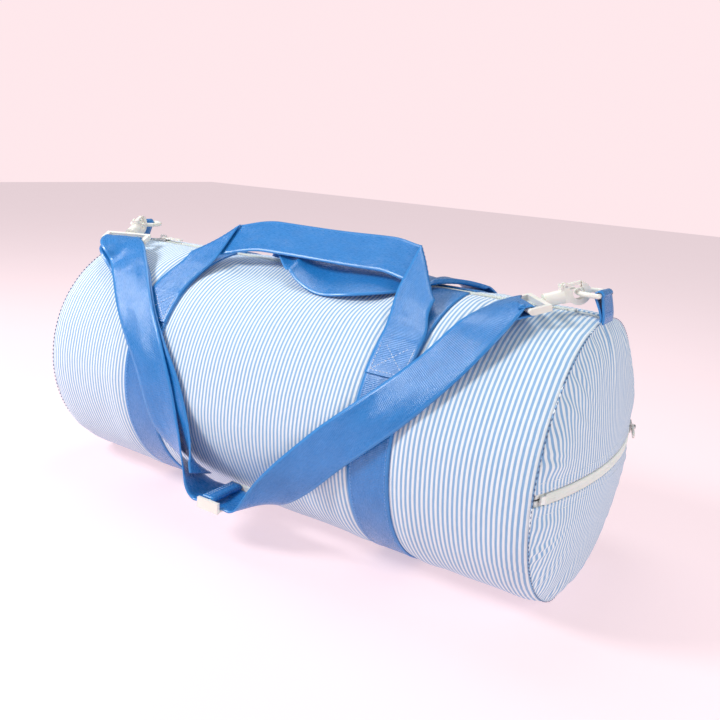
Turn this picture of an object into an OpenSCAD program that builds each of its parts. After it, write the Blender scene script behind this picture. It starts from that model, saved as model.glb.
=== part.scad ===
// Striped duffel bag with webbing handles, a clip-on shoulder strap and two zips.
// Origin: middle of the flat underside. +X along the bag to its zip-pocket end,
// -Y to the front, +Z up. Millimetres.

/* [Bag] */
// Length of the cloth tube between the end seams
bag_len = 530; // [440:5:620]
// Radius of the filled tube
bag_r = 121; // [100:1:145]
// How far the filled tube is flattened where it rests
flat_h = 8; // [4:1:14]
// How far each round end panel bulges past its seam
end_bulge = 22; // [12:1:30]
// Thickness of the striped cloth
cloth_t = 1.2; // [0.8:0.1:2]
// Thickness of the lining cloth
lining_t = 0.8; // [0.5:0.1:1.5]
// Thickness of the doubled cloth at the underside
base_t = 3; // [2.6:0.1:5]

/* [Webbing] */
// Width of the band, handle and strap webbing
web_w = 38; // [25:1:50]
// Thickness of the webbing
web_t = 1.4; // [1:0.1:2]
// Distance of each girth band from the middle of the bag
band_x = 131; // [100:1:160]
// Width of the webbing of the D-ring tabs
tab_w = 25; // [16:1:32]
// Height of the D-ring pivot above the top of the bag
tab_h = 16; // [12:1:22]

/* [Handles] */
// Height of each handle loop, measured along the webbing from its root
handle_h = 104; // [90:1:130]
// Angle of the handle roots from the top of the bag
handle_root_deg = 43; // [36:1:50]
// Angle that each sewn handle end covers below its root
lap_deg = 15; // [10:1:20]
// Radius of the rolled fold at each handle corner
fold_r = 1.6; // [1.2:0.1:3]

/* [Zips] */
// Width of the gap in the cloth that shows a zip
zip_gap = 12; // [10:0.5:16]
// Width of each zip tape
tape_w = 15; // [12:1:20]
// Thickness of the zip tapes
tape_t = 0.6; // [0.4:0.1:1]
// Width of one row of coil
coil_w = 2.5; // [2:0.1:3.5]
// Height of the coil above its tape
coil_h = 2; // [1.5:0.1:3]
// Gap between the two rows of coil
coil_gap = 1.4; // [1.2:0.1:2]
// Distance from each end seam to the main zip's row of coil
zip_end_gap = 30; // [20:1:60]
// Height of the pocket zip above the middle of the end panel
pocket_zip_h = 5; // [0:1:20]
// Length of the zip sliders
slider_len = 13; // [10:1:18]
// Length of the zip pulls
pull_len = 28; // [18:1:40]

/* [Strap hardware] */
// Thickness of the D-ring bar
ring_d = 4; // [3:0.5:5]
// Inside diameter of the hook's throat
throat_d = 10; // [9:0.5:13]
// Length of the straight sides of the D-rings
ring_straight = 6; // [4:0.5:10]
// Distance from the hook's throat to the bar that holds the strap
hook_len = 45; // [42:1:55]
// Angle of the right hook from the length of the bag
hook_yaw_right = 41; // [30:1:60]
// Angle of the left hook from the length of the bag
hook_yaw_left = 65; // [45:1:75]
// Slope of both hooks down towards the strap
hook_pitch = 16; // [10:1:22]

/* [Hidden] */
$fn = 96;

slip = 0.3;                              // clearance between pieces that move
eps = 0.01;                              // overshoot of a cutting tool
half_len = bag_len / 2;
axis_z = bag_r - flat_h;                 // height of the bag's long axis
band_r = bag_r + web_t;                  // outside of the girth bands
inner_r = bag_r - cloth_t;               // inside of the striped cloth
lining_r = inner_r - tape_t;             // outside of the lining, under the zip tapes
binding_w = 8;                           // depth of the bound seam inside each end
binding_t = 2;
dome_r = (bag_r * bag_r + end_bulge * end_bulge) / (2 * end_bulge);
dome_x = half_len + end_bulge - dome_r;  // centre of the end panel's sphere
main_zip_len = bag_len - 2 * zip_end_gap;  // length of the main zip's row of coil
zip_z = axis_z + pocket_zip_h;
pocket_gap = 9;                          // cloth gap of the pocket zip
layer_gap = 0.05;                        // between the ball-shaped layers of the pocket end
stop_len = 5;
slider_w = 2 * coil_w + coil_gap + 2 * slip + 2;
plate_t = 1.2;                           // thickness of a slider's plates
pull_w = 5;
pull_t = 1.6;
ring_r = tab_w / 2 + ring_d / 2 + 0.5;   // middle radius of the D-ring
ring_z = axis_z + bag_r + tab_h;
ring_x = half_len - 5;                    // straight bar of the D-ring
bow_x = ring_x - ring_straight;          // centre of the D-ring's bow
hook_t = 6;                              // thickness of the hook
eye_bar_d = 5;
eye_rail = 4;
barrel_d = 11;
post_d = 5;
head_d = 7;
route_scale = half_len / 265;            // the strap's route is drawn for a half length of 265
adjuster_x = -14 * route_scale;          // place of the adjuster on the strap
adjuster_z = axis_z - 77;
adjuster_len = 24;
adjuster_bar_r = 1.6;
adjuster_top = web_t / 2 + slip + web_t + 0.1 + adjuster_bar_r;   // height of its middle bar
wrap_r = eye_bar_d / 2 + slip + web_t / 2;   // middle radius of webbing round a bar

// Colours
cloth_col = "lightsteelblue";
web_col = "cornflowerblue";
plastic_col = "ivory";
zip_col = "whitesmoke";
inside_col = "aliceblue";

// ---------- vectors and ribbons ----------
function unit(v) = v / norm(v);
function turn_y(v, a) = [v[0] * cos(a) + v[2] * sin(a), v[1], -v[0] * sin(a) + v[2] * cos(a)];
function turn_z(v, a) = [v[0] * cos(a) - v[1] * sin(a), v[0] * sin(a) + v[1] * cos(a), v[2]];

// One coordinate of a smooth curve through a, b, c, d at u between b and c
function smooth(a, b, c, d, u) =
    ((2 * b) + (c - a) * u + (2 * a - 5 * b + 4 * c - d) * u * u
        + (3 * b - a - 3 * c + d) * u * u * u) / 2;

// A list of rows made finer by steps points to each span
function refine(rows, steps) =
    let (last = len(rows) - 1)
    concat([for (i = [0:last - 1], k = [0:steps - 1])
        smooth(rows[max(i - 1, 0)], rows[i], rows[i + 1], rows[min(i + 2, last)], k / steps)],
        [rows[last]]);

// Faces of a closed grid tube: rings of size points, rings in all
function tube_faces(rings, size) = concat(
    [for (i = [0:rings - 2], j = [0:size - 1])
        [i * size + j, i * size + (j + 1) % size, (i + 1) * size + (j + 1) % size]],
    [for (i = [0:rings - 2], j = [0:size - 1])
        [i * size + j, (i + 1) * size + (j + 1) % size, (i + 1) * size + j]],
    [[for (j = [size - 1:-1:0]) j], [for (j = [0:size - 1]) (rings - 1) * size + j]]);

// Webbing along rows of [x, y, z, nx, ny, nz]: a middle line and its outer face's direction
module ribbon(rows, width, thick) {
    last = len(rows) - 1;
    places = [for (r = rows) [r[0], r[1], r[2]]];
    points = [for (i = [0:last])
        let (along = unit(places[min(i + 1, last)] - places[max(i - 1, 0)]),
            raw = [rows[i][3], rows[i][4], rows[i][5]],
            out = unit(raw - (raw * along) * along),
            side = cross(out, along))
        each [places[i] + side * width / 2 + out * thick / 2,
            places[i] - side * width / 2 + out * thick / 2,
            places[i] - side * width / 2 - out * thick / 2,
            places[i] + side * width / 2 - out * thick / 2]];
    polyhedron(points, tube_faces(last + 1, 4), convexity = 10);
}

// ---------- shapes of the bag ----------
// Section of the bag in Y and Z about its axis, drawn in until the wall is inset thick,
// with its flat underside raised by lift
module bag_outline(radius, lift) {
    intersection() {
        circle(radius, $fn = 180);
        translate([-2 * bag_r, lift - axis_z]) square([4 * bag_r, 4 * bag_r]);
    }
}

// A 2D section in Y and Z extruded along X from x0 to x1, at the height of the axis
module along_bag(x0, x1) {
    translate([x0, 0, axis_z]) rotate([90, 0, 90]) linear_extrude(x1 - x0) children();
}

// A wall between two radii whose underside lies between two heights
module tube_wall(x0, x1, r_out, low, r_in, high) {
    along_bag(x0, x1) difference() {
        bag_outline(r_out, low);
        bag_outline(r_in, high);
    }
}

// Cap of the ball that the end panels are cut from, grown inwards by inset
module end_cap(inset, low) {
    intersection() {
        translate([dome_x, 0, axis_z]) sphere(dome_r - inset, $fn = 180);
        along_bag(half_len, half_len + 2 * end_bulge) bag_outline(bag_r - inset, low);
    }
}

// Shell of the end panel between two insets
module end_shell(outer, inner, low_out, low_in) {
    difference() {
        end_cap(outer, low_out);
        translate([-eps, 0, 0]) end_cap(inner, low_in);
        along_bag(half_len - 1, half_len + eps) bag_outline(bag_r - inner, low_in);
    }
}

module slab(z0, z1) {
    translate([0, -2 * bag_r, z0]) cube([half_len + 4 * end_bulge, 4 * bag_r, z1 - z0]);
}

// ---------- cloth ----------
module body_panel() {
    color(cloth_col) difference() {
        tube_wall(-half_len, half_len, bag_r, 0, inner_r, base_t);
        translate([-half_len - 1, -zip_gap / 2, axis_z])
            cube([bag_len + 2, zip_gap, 2 * bag_r]);
        for (s = [-1, 1])
            translate([s * band_x - web_w / 2, -bag_r, -1]) cube([web_w, 2 * bag_r, 1 + web_t]);
    }
}

module end_panel_left() {
    color(cloth_col) mirror([1, 0, 0]) end_shell(0, cloth_t, 0, cloth_t);
}

module end_panel_upper() {
    color(cloth_col) intersection() {
        end_shell(0, cloth_t, 0, cloth_t);
        slab(zip_z + pocket_gap / 2, axis_z + 2 * bag_r);
    }
}

module end_panel_lower() {
    color(cloth_col) intersection() {
        end_shell(0, cloth_t, 0, cloth_t);
        slab(-1, zip_z - pocket_gap / 2);
    }
}

module body_lining() {
    edge = half_len - binding_t;
    color(inside_col) difference() {
        tube_wall(-edge, edge, lining_r, base_t, lining_r - lining_t, base_t + lining_t);
        translate([-half_len, -zip_gap / 2 - 4, axis_z]) cube([bag_len, zip_gap + 8, 2 * bag_r]);
    }
}

// Bound seam: the ring inside each end that holds panel, lining and end panel together
module seam_binding() {
    along_bag(half_len - binding_t, half_len) difference() {
        bag_outline(inner_r, base_t);
        bag_outline(inner_r - binding_w, base_t + binding_w);
        translate([-zip_gap / 2 - 4, 0]) square([zip_gap + 8, 2 * bag_r]);
    }
}

module seam_binding_left() { color(inside_col) mirror([1, 0, 0]) seam_binding(); }
module seam_binding_right() { color(inside_col) seam_binding(); }

// Flat cloth disc behind an end panel
module end_disc() {
    along_bag(half_len - binding_t, half_len - binding_t + lining_t)
        bag_outline(inner_r - binding_w, base_t + binding_w);
}

module end_lining_left() { color(inside_col) mirror([1, 0, 0]) end_disc(); }
module pocket_bag() { color(inside_col) end_disc(); }

// ---------- webbing on the bag ----------
module girth_band(x) {
    color(web_col) difference() {
        tube_wall(x - web_w / 2, x + web_w / 2, band_r, 0, bag_r, web_t);
        translate([x - web_w, -zip_gap / 2, axis_z]) cube([2 * web_w, zip_gap, 2 * bag_r]);
    }
}

module girth_band_left() { girth_band(-band_x); }
module girth_band_right() { girth_band(band_x); }

// Sewn end of a handle, lying on the band from the root down
module handle_lap(x) {
    from_deg = 90 + handle_root_deg + 0.5;
    translate([x - web_w / 2, 0, axis_z]) rotate([90, 0, 90]) rotate([0, 0, from_deg])
        rotate_extrude(angle = lap_deg) translate([band_r, 0]) square([web_t, web_w]);
}

module handle_laps_front() { color(web_col) for (s = [-1, 1]) handle_lap(s * band_x); }
module handle_laps_rear() {
    color(web_col) mirror([0, 1, 0]) for (s = [-1, 1]) handle_lap(s * band_x);
}

// Handle: webbing that rises from one band, folds over at 45 degrees, runs across and
// folds down to the other band. Flat places are [across, up the handle, off its plane].
roll_len = PI * fold_r;
run_h = handle_h - web_w / 2;                 // height of the middle of the top run
fold_h = run_h - roll_len / sqrt(2);          // where the middle line meets the fold
half_web = band_x + fold_h + roll_len / sqrt(2);
root_gap = 2.8;                               // bare stretch between root axis and webbing
root_r = band_r + slip + web_t / 2;
fallen_rise = 12;                             // rise of the fallen loop over the zip slider
fallen_lean = 70;                             // shift of its left corner to the middle

// Place and outer direction of a point s along and u across the left half of the webbing
function fold_place(s, u, off) =
    let (past = (s - u - fold_h) / sqrt(2),
        line = [u - band_x + past / sqrt(2), s - past / sqrt(2)],
        m = [-1, 1] / sqrt(2),
        a = past <= 0 ? 0 : past >= roll_len ? 180 : past / fold_r * 180 / PI,
        rest = past <= 0 ? past : past >= roll_len ? roll_len - past : 0,
        push = rest + fold_r * sin(a) + off * sin(a),
        flat = line + m * push)
    [flat[0], flat[1], -fold_r + (fold_r + off) * cos(a)];

function handle_flat(s, u, off) =
    s <= half_web ? fold_place(s, u, off)
        : let (p = fold_place(2 * half_web - s, u, off)) [-p[0], p[1], p[2]];

// Upright handle: a flat loop on the tangent at its root
function upright(p) =
    let (a = handle_root_deg)
    [p[0], -root_r * sin(a) + p[1] * cos(a) - p[2] * sin(a),
        axis_z + root_r * cos(a) + p[1] * sin(a) + p[2] * cos(a)];

// Fallen handle: the loop lies over the top of the bag on a slowly rising curve, its left
// corner slipped to the middle
function fallen(p) =
    let (share = min(p[1] / handle_h, 1),
        side = p[0] / band_x,
        a = -handle_root_deg + p[1] / (root_r + 3) * 180 / PI,
        r = root_r + fallen_rise * (1 - pow(1 - share, 2)) + p[2])
    [p[0] + fallen_lean * share * (1 - side) / 2, -r * sin(a), axis_z + r * cos(a)];

// Steps along half the webbing, finer round the fold
half_steps = concat([root_gap], [for (s = [10:12:fold_h - web_w / 2 - 1]) s],
    [for (s = [fold_h - web_w / 2:2.5:fold_h + web_w / 2 + roll_len * 1.5]) s],
    [for (s = [fold_h + web_w / 2 + roll_len * 1.5 + 10:16:half_web - 6]) s]);
web_steps = concat(half_steps, [half_web],
    [for (i = [len(half_steps) - 1:-1:0]) 2 * half_web - half_steps[i]]);
web_cols = 10;

module handle_web(lying) {
    ring = [for (j = [0:web_cols]) [web_w * (j / web_cols - 0.5), web_t / 2]];
    back = [for (j = [web_cols:-1:0]) [web_w * (j / web_cols - 0.5), -web_t / 2]];
    section = concat(ring, back);
    points = [for (s = web_steps) each [for (c = section)
        let (p = handle_flat(s, c[0], c[1])) lying ? fallen(p) : upright(p)]];
    polyhedron(points, tube_faces(len(web_steps), len(section)), convexity = 10);
}

module handle_front() { color(web_col) handle_web(false); }
module handle_rear() { color("royalblue") handle_web(true); }

// ---------- D-rings and their tabs ----------
// Folded webbing sewn into the top of the end seam, round the straight bar of the D-ring
module d_ring_tab() {
    bar_r = ring_d / 2 + slip;
    lean = atan((half_len - cloth_t - ring_x) / tab_h);
    color(web_col) difference() {
        translate([ring_x, tab_w / 2, ring_z]) rotate([90, 0, 0]) linear_extrude(tab_w)
            difference() {
                union() {
                    circle(bar_r + web_t);
                    rotate(lean) translate([-web_t, -2 * tab_h]) square([2 * web_t, 2 * tab_h]);
                }
                circle(bar_r);
            }
        along_bag(0, half_len + tab_h) circle(bag_r, $fn = 180);
    }
}

module d_ring_tab_right() { d_ring_tab(); }
module d_ring_tab_left() { mirror([1, 0, 0]) d_ring_tab(); }

module d_ring() {
    color(plastic_col) translate([ring_x, 0, ring_z]) {
        translate([-ring_straight, 0, 0]) rotate([0, 0, 90]) rotate_extrude(angle = 180)
            translate([ring_r, 0]) circle(d = ring_d);
        for (s = [-1, 1]) {
            translate([0, s * ring_r, 0]) sphere(d = ring_d);
            translate([-ring_straight, s * ring_r, 0]) rotate([0, 90, 0])
                cylinder(d = ring_d, h = ring_straight);
        }
        translate([0, -ring_r, 0]) rotate([-90, 0, 0]) cylinder(d = ring_d, h = 2 * ring_r);
    }
}

module d_ring_right() { d_ring(); }
module d_ring_left() { mirror([1, 0, 0]) d_ring(); }

// ---------- swivel hooks ----------
// Place of a hook: its throat holds the D-ring's bow, its eye points down to the strap
function hook_place(yaw) = [bow_x - ring_r * cos(yaw), -ring_r * sin(yaw), ring_z];

module at_hook(yaw) {
    translate(hook_place(yaw)) rotate([0, -hook_pitch, yaw]) children();
}

gate_x = -9.5;                          // gate pivot, measured from the throat
gate_z = throat_d / 2 + 2.4;
gate_seat = throat_d / 2 - 0.4;         // bottom of the hook's mouth
hook_r = throat_d / 2 + 4.5;
mouth_x = 3.5;                          // end of the hook's mouth

module hook_body() {
    difference() {
        union() {
            translate([0, hook_t / 2, 0]) rotate([90, 0, 0]) linear_extrude(hook_t) {
                circle(hook_r);
                translate([-14, -5.5]) square([8, 5.5 + gate_z + 2.4]);
            }
            translate([-28, 0, 0]) rotate([0, 90, 0]) cylinder(d = barrel_d, h = 16);
        }
        rotate([90, 0, 0]) cylinder(d = throat_d, h = 2 * hook_t, center = true);
        translate([-12.2, -hook_t, gate_seat]) cube([12.2 + mouth_x, 2 * hook_t, 20]);
        translate([-29, 0, 0]) rotate([0, 90, 0]) cylinder(d = post_d + 2 * slip, h = 14);
        translate([-21, 0, 0]) rotate([0, 90, 0]) cylinder(d = head_d + 2 * slip, h = 6);
    }
    // Cheeks that carry the gate pin
    for (s = [-1, 1]) difference() {
        translate([gate_x, s * (hook_t / 2 - 0.6) + 0.6, 0]) rotate([90, 0, 0])
            linear_extrude(1.2) {
                translate([-2.5, gate_seat - 0.5]) square([5, gate_z - gate_seat + 0.5]);
                translate([0, gate_z]) circle(2.5);
            }
        translate([gate_x, 0, gate_z]) rotate([90, 0, 0]) cylinder(d = 2, h = 20, center = true);
    }
}

module hook_gate() {
    wide = hook_t - 2.4 - 2 * slip;
    difference() {
        translate([0, wide / 2, 0]) rotate([90, 0, 0]) linear_extrude(wide) {
            translate([gate_x, gate_z]) circle(1.9);
            translate([gate_x, gate_z - 1.1]) square([mouth_x - slip - gate_x, 2.6]);
        }
        translate([gate_x, 0, gate_z]) rotate([90, 0, 0])
            cylinder(d = 2 + 0.4, h = 20, center = true);
    }
}

module gate_pin() {
    translate([gate_x, 0, gate_z]) rotate([90, 0, 0]) cylinder(d = 2, h = hook_t, center = true);
}

// Eye: a frame whose bar holds the webbing, with a headed post that turns in the hook
module hook_eye() {
    wide = web_w + 2 * 0.8;
    reach = hook_len - 30;
    translate([-hook_len, 0, 0]) {
        rotate([90, 0, 0]) cylinder(d = eye_bar_d, h = wide + 2 * eye_rail - 1, center = true);
        translate([0, 0, -eye_bar_d / 2]) linear_extrude(eye_bar_d) difference() {
            translate([0, -wide / 2 - eye_rail]) square([reach, wide + 2 * eye_rail]);
            translate([-1, -wide / 2]) square([reach - 3.5 + 1, wide]);
        }
    }
    translate([-31, 0, 0]) rotate([0, 90, 0]) cylinder(d = post_d, h = 11);
    translate([-20.4, 0, 0]) rotate([0, 90, 0]) cylinder(d = head_d, h = 4);
}

module right_side() { color(plastic_col) at_hook(hook_yaw_right) children(); }
module left_side() { color(plastic_col) mirror([1, 0, 0]) at_hook(hook_yaw_left) children(); }
module hook_eye_right() { right_side() hook_eye(); }
module hook_eye_left() { left_side() hook_eye(); }
module hook_body_right() { right_side() hook_body(); }
module hook_body_left() { left_side() hook_body(); }
module hook_gate_right() { right_side() hook_gate(); }
module hook_gate_left() { left_side() hook_gate(); }
module gate_pin_right() { right_side() gate_pin(); }
module gate_pin_left() { left_side() gate_pin(); }

// ---------- shoulder strap ----------
// A row of the route on the bag: place along it, angle from its top, lift off its bands
function on_bag(x, deg, lift) =
    let (r = band_r + lift)
    [x * route_scale, -r * sin(deg), axis_z + r * cos(deg), 0, -sin(deg), cos(deg)];

// A row of the part that hangs free in front: place along the bag, distance from its front,
// height from its axis, and how far the outer face is turned out from the middle of the loop
loop_mid = [-10, 7];
function hang(x, off, z, twist) =
    let (out = unit([x - loop_mid[0], z - loop_mid[1]]))
    [x * route_scale, -bag_r - off, axis_z + z, sin(twist) * out[0], -cos(twist), sin(twist) * out[1]];

// Rows of webbing that comes from under a hook's bar, round it and away, lift turned
function eye_row(yaw, side, ahead, up, out_x, out_z) =
    let (p = turn_z(turn_y([ahead - hook_len, 0, up], -hook_pitch), yaw) + hook_place(yaw),
        n = turn_z(turn_y([out_x, 0, out_z], -hook_pitch), yaw))
    [side * p[0], p[1], p[2], side * n[0], n[1], n[2]];
function eye_wrap(yaw, side) = concat(
    [for (d = [14, 7]) eye_row(yaw, side, -d, -wrap_r, 0, -1)],
    [for (a = [-90:30:90]) eye_row(yaw, side, wrap_r * cos(a), wrap_r * sin(a), cos(a), sin(a))],
    [eye_row(yaw, side, -10, wrap_r, 0, 1)]);
function face_down(rows) = [for (r = rows) [r[0], r[1], r[2], -r[3], -r[4], -r[5]]];
function turned(rows) = [for (i = [len(rows) - 1:-1:0]) rows[i]];

// The route, chosen by hand: right hook, down the front, through the adjuster, up to the
// left hook, round its bar and back down beneath to the sewn end
strap_down = [on_bag(192, 35, 9), on_bag(173, 51, 3), on_bag(149, 66, 3), on_bag(121, 79, 3),
    hang(96, 4, 1, 0), hang(70, 4, -25, 12), hang(46, 4, -49, 35), hang(28, 4, -67, 62),
    hang(16, 4, -75, 82), hang(8, 4, -77, 90), hang(2, 4, -77, 90), hang(-4, 4, -77, 90),
    hang(-14, 4, -77, 90), hang(-24, 4, -77, 90), hang(-30, 4, -77, 90), hang(-36, 4, -77, 90),
    hang(-45, 4, -74, 80), hang(-56, 4, -65, 62), hang(-68, 5, -51, 40), hang(-80, 6, -33, 18),
    hang(-90, 7, -15, 4), on_bag(-101, 84, 6), on_bag(-120, 71, 6), on_bag(-142, 60, 6),
    on_bag(-165, 49, 7), on_bag(-188, 38, 9), on_bag(-208, 30, 12)];
strap_back = [on_bag(-202, 34, 6), on_bag(-180, 42, 3), on_bag(-160, 51, 3),
    on_bag(-138, 62, 3), on_bag(-114, 73, 3), on_bag(-92, 85, 3), hang(-78, 4, -17, 6),
    hang(-66, 4, -37, 22), hang(-54, 4, -52, 46), hang(-43, 5, -61, 66)];
strap_rows = concat(eye_wrap(hook_yaw_right, 1), strap_down,
    turned(eye_wrap(hook_yaw_left, -1)), face_down(strap_back));

module shoulder_strap() { color(web_col) ribbon(refine(strap_rows, 4), web_w, web_t); }

// Three-bar adjuster: end bars under the strap, middle bar over it, in the loop's inside
module strap_adjuster() {
    wide = web_w + 1.6;
    rail = 3;
    low = -web_t / 2 - slip - 2 * adjuster_bar_r;
    color(plastic_col) translate([adjuster_x, -bag_r - 4, adjuster_z]) {
        for (s = [-1, 1]) {
            translate([s * (adjuster_len / 2 - adjuster_bar_r), 0, low + adjuster_bar_r])
                rotate([90, 0, 0]) cylinder(r = adjuster_bar_r, h = wide + 1, center = true);
            translate([-adjuster_len / 2, s * (wide + rail) / 2 - rail / 2, low])
                cube([adjuster_len, rail, adjuster_top + adjuster_bar_r - low]);
        }
        translate([0, 0, adjuster_top]) rotate([90, 0, 0])
            cylinder(r = adjuster_bar_r, h = wide + 1, center = true);
    }
}

// End of the return webbing, sewn round the adjuster's middle bar
module strap_end_loop() {
    inner = adjuster_bar_r + 0.1;
    tail = 9;
    color(web_col) translate([adjuster_x, -bag_r - 4 + web_w / 2, adjuster_z + adjuster_top])
        rotate([90, 0, 0]) linear_extrude(web_w) {
            difference() {
                circle(inner + web_t);
                circle(inner);
                translate([-20, -20]) square([20, 20 + inner + eps]);
            }
            translate([-tail, inner]) square([tail + eps, web_t]);
        }
}

// ---------- zips ----------
// Half of the main zip on the +Y side
module main_tape() {
    color(zip_col) intersection() {
        tube_wall(-half_len + binding_t, half_len - binding_t, inner_r, 0, lining_r, 0);
        translate([-half_len, coil_gap / 2, axis_z]) cube([bag_len, tape_w, 2 * bag_r]);
    }
}

module main_coil() {
    color(zip_col) intersection() {
        tube_wall(-main_zip_len / 2, main_zip_len / 2, inner_r + coil_h, 0, inner_r, 0);
        translate([-half_len, coil_gap / 2, axis_z]) cube([bag_len, coil_w, 2 * bag_r]);
    }
}

module main_zip_tape_rear() { main_tape(); }
module main_zip_tape_front() { mirror([0, 1, 0]) main_tape(); }
module main_zip_coil_rear() { main_coil(); }
module main_zip_coil_front() { mirror([0, 1, 0]) main_coil(); }

// Stops that cap both rows past the ends of the coil
module main_zip_stops() {
    wide = coil_gap + 2 * coil_w;
    color(zip_col) for (s = [-1, 1]) intersection() {
        tube_wall(-half_len, half_len, inner_r + coil_h, 0, inner_r, 0);
        translate([s * (main_zip_len / 2 + stop_len / 2) - stop_len / 2, -wide / 2, axis_z])
            cube([stop_len, wide, 2 * bag_r]);
    }
}

// Slider about the middle of the coil's top: plates above and below, joined by a web in
// the gap, with side flanges and a bridge that holds the pull
module slider() {
    top = slip;
    bottom = -coil_h - tape_t - slip - 0.1;
    web = coil_gap - 2 * slip;
    difference() {
        union() {
            translate([-slider_len / 2, -slider_w / 2, top])
                cube([slider_len, slider_w, plate_t]);
            translate([-slider_len / 2, -slider_w / 2, bottom - plate_t])
                cube([slider_len, slider_w, plate_t]);
            translate([-slider_len / 2, -web / 2, bottom - plate_t])
                cube([slider_len, web, top + plate_t - bottom + plate_t]);
            for (s = [-1, 1])
                translate([-slider_len / 2, s * (slider_w / 2 - 0.5) - 0.5, top - coil_h + 0.6])
                    cube([slider_len, 1, coil_h]);
            translate([-4, -1, top + plate_t - 0.1]) cube([8, 2, 4.2]);
        }
        translate([-2.5, -2, top + plate_t]) cube([5, 4, 2.8]);
    }
}

// Pull: a ring end held under the bridge and a flat tongue lying along the zip
module pull() {
    z = slip + plate_t + 0.4;
    translate([0, 0, z]) {
        translate([0, -pull_w / 2, pull_t / 2]) rotate([-90, 0, 0]) cylinder(d = pull_t, h = pull_w);
        for (s = [-1, 1]) translate([0, s * (pull_w / 2 - 0.6) - 0.6, 0]) cube([8, 1.2, pull_t]);
        translate([7, -pull_w / 2, 0]) cube([pull_len - 9.5, pull_w, pull_t]);
        translate([pull_len - 2.5, 0, 0]) cylinder(d = pull_w, h = pull_t);
    }
}

main_slider_x = -main_zip_len / 2 + slider_len / 2 + 2;
main_slider_z = axis_z + inner_r + coil_h;
module at_main_slider() { translate([main_slider_x, 0, main_slider_z]) children(); }
module main_zip_slider() { color("silver") at_main_slider() slider(); }
module main_zip_pull() { color(zip_col) at_main_slider() pull(); }

// The pocket zip follows the ball of the end panel at the height zip_z
lat_r = sqrt(pow(dome_r - cloth_t, 2) - pow(pocket_zip_h, 2));   // zip's radius about Z
zip_reach = asin((bag_r - 14) / lat_r);                          // half its angle

// A tape of the pocket zip between two heights, close under the cloth
module pocket_layer(z0, z1) {
    outer = dome_r - cloth_t - layer_gap;
    color(zip_col) intersection() {
        difference() {
            translate([dome_x, 0, axis_z]) sphere(outer, $fn = 180);
            translate([dome_x, 0, axis_z]) sphere(outer - tape_t, $fn = 180);
        }
        along_bag(half_len, half_len + 2 * end_bulge) bag_outline(inner_r - 1, 0);
        slab(z0, z1);
    }
}

module pocket_zip_tape_upper() {
    pocket_layer(zip_z + coil_gap / 2, zip_z + tape_w);
}
module pocket_zip_tape_lower() {
    pocket_layer(zip_z - tape_w, zip_z - coil_gap / 2);
}

// One row of coil on the pocket zip, between two heights, over an arc about the Z axis
module pocket_row(z0, z1, from_deg, to_deg) {
    color(zip_col) translate([dome_x, 0, z0]) rotate([0, 0, from_deg])
        rotate_extrude(angle = to_deg - from_deg, $fn = 360)
            translate([lat_r + 0.1, 0]) square([coil_h, z1 - z0]);
}

module pocket_zip_coil_upper() {
    pocket_row(zip_z + coil_gap / 2, zip_z + coil_gap / 2 + coil_w, -zip_reach, zip_reach);
}
module pocket_zip_coil_lower() {
    pocket_row(zip_z - coil_gap / 2 - coil_w, zip_z - coil_gap / 2, -zip_reach, zip_reach);
}
module pocket_zip_stops() {
    reach = coil_gap / 2 + coil_w;
    for (a = [-zip_reach - 0.8, zip_reach])
        pocket_row(zip_z - reach, zip_z + reach, a, a + 0.8);
}

pocket_slider_deg = zip_reach - 1.5;
module at_pocket_slider() {
    translate([dome_x, 0, zip_z]) rotate([0, 0, pocket_slider_deg])
        translate([lat_r + 0.1 + coil_h, 0, 0]) rotate([0, 90, 0]) rotate([0, 0, 90]) children();
}
module pocket_zip_slider() { color("silver") at_pocket_slider() slider(); }
module pocket_zip_pull() { color(zip_col) at_pocket_slider() rotate([0, 0, 180]) pull(); }

body_panel();
end_panel_left();
end_panel_upper();
end_panel_lower();
body_lining();
end_lining_left();
pocket_bag();
seam_binding_left();
seam_binding_right();
girth_band_left();
girth_band_right();
handle_laps_front();
handle_laps_rear();
handle_front();
handle_rear();
d_ring_tab_left();
d_ring_tab_right();
d_ring_left();
d_ring_right();
main_zip_tape_front();
main_zip_tape_rear();
main_zip_coil_front();
main_zip_coil_rear();
main_zip_stops();
main_zip_slider();
main_zip_pull();
pocket_zip_tape_upper();
pocket_zip_tape_lower();
pocket_zip_coil_upper();
pocket_zip_coil_lower();
pocket_zip_stops();
pocket_zip_slider();
pocket_zip_pull();
shoulder_strap();
strap_end_loop();
strap_adjuster();
hook_eye_left();
hook_eye_right();
hook_body_left();
hook_body_right();
hook_gate_left();
hook_gate_right();
gate_pin_left();
gate_pin_right();
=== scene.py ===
# Striped duffel bag with webbing handles, a clip-on shoulder strap and two zips.
# Metres, in the part's own frame: +X to the zip-pocket end, -Y to the front, +Z up.
from math import acos, asin, atan2, cos, degrees, exp, hypot, pi, radians, sin, sqrt

import bmesh
import bpy
from mathutils import Matrix, Vector, noise


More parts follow.
